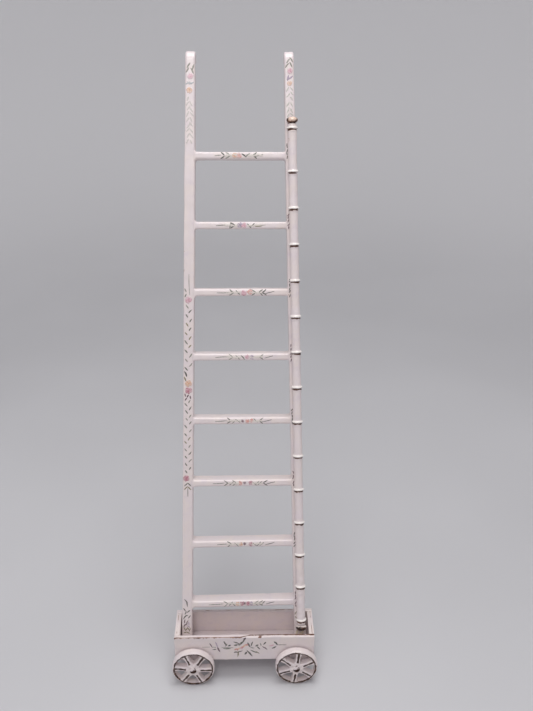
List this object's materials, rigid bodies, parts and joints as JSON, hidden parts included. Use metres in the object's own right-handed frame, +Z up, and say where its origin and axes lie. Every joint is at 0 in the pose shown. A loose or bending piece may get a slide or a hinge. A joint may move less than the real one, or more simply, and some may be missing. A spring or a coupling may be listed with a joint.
{
  "type": "library ladder",
  "caption": "Hand-painted miniature library ladder: hooked rails, flat treads and a bamboo handrail, leaning in a box trolley that rolls sideways on spoked wheels.",
  "frame": {"origin": "on the floor, under the middle of the object's bounding box", "axes": "+Z up, +X to the right and +Y away from someone who faces the ladder; the wheels' axles lie along Y, so it rolls along X"},
  "size_m": [0.047, 0.0626, 0.1899],
  "materials": {
    "box_paint": "thick pinkish white hand paint, satin, worn to brown gilt along the edges",
    "ladder_paint": "wood strip under thick pinkish white satin paint, with painted flower sprays",
    "pole_paint": "bamboo-shaped wood, white paint, nodes underlined in brown gilt",
    "wheel_enamel": "rough casting under white enamel, edges picked out in brown gilt",
    "axle_metal": "dark bronzed brass, peened ends",
    "gilt": "old gilt bead, darkened underneath"
  },
  "bodies": {
    "root": {"trolley_front_panel": "box_paint", "trolley_back_panel": "box_paint", "trolley_left_end": "box_paint", "trolley_right_end": "box_paint", "trolley_floor": "box_paint", "axle_block_left": "box_paint", "axle_block_right": "box_paint", "axle_left": "axle_metal", "axle_right": "axle_metal", "rail_left": "ladder_paint", "rail_right": "ladder_paint", "hook_left": "ladder_paint", "hook_right": "ladder_paint", "tread_1": "ladder_paint", "tread_2": "ladder_paint", "tread_3": "ladder_paint", "tread_4": "ladder_paint", "tread_5": "ladder_paint", "tread_6": "ladder_paint", "tread_7": "ladder_paint", "tread_8": "ladder_paint", "handrail_pole": "pole_paint", "handrail_bead_bottom": "gilt", "handrail_bead_top": "gilt"},
    "wheel_front_left": {"wheel_front_left": "wheel_enamel"},
    "wheel_front_right": {"wheel_front_right": "wheel_enamel"},
    "wheel_rear_left": {"wheel_rear_left": "wheel_enamel"},
    "wheel_rear_right": {"wheel_rear_right": "wheel_enamel"}
  },
  "joints": [
    {"name": "wheel_front_left_spin", "type": "hinge", "parent": "root", "child": "wheel_front_left", "pos_m": [-0.01664, -0.02935, 0.00682], "axis": [0, 1, 0], "continuous": true},
    {"name": "wheel_front_right_spin", "type": "hinge", "parent": "root", "child": "wheel_front_right", "pos_m": [0.01664, -0.02935, 0.00682], "axis": [0, 1, 0], "continuous": true},
    {"name": "wheel_rear_left_spin", "type": "hinge", "parent": "root", "child": "wheel_rear_left", "pos_m": [-0.01664, -0.01321, 0.00682], "axis": [0, 1, 0], "continuous": true},
    {"name": "wheel_rear_right_spin", "type": "hinge", "parent": "root", "child": "wheel_rear_right", "pos_m": [0.01664, -0.01321, 0.00682], "axis": [0, 1, 0], "continuous": true}
  ]
}
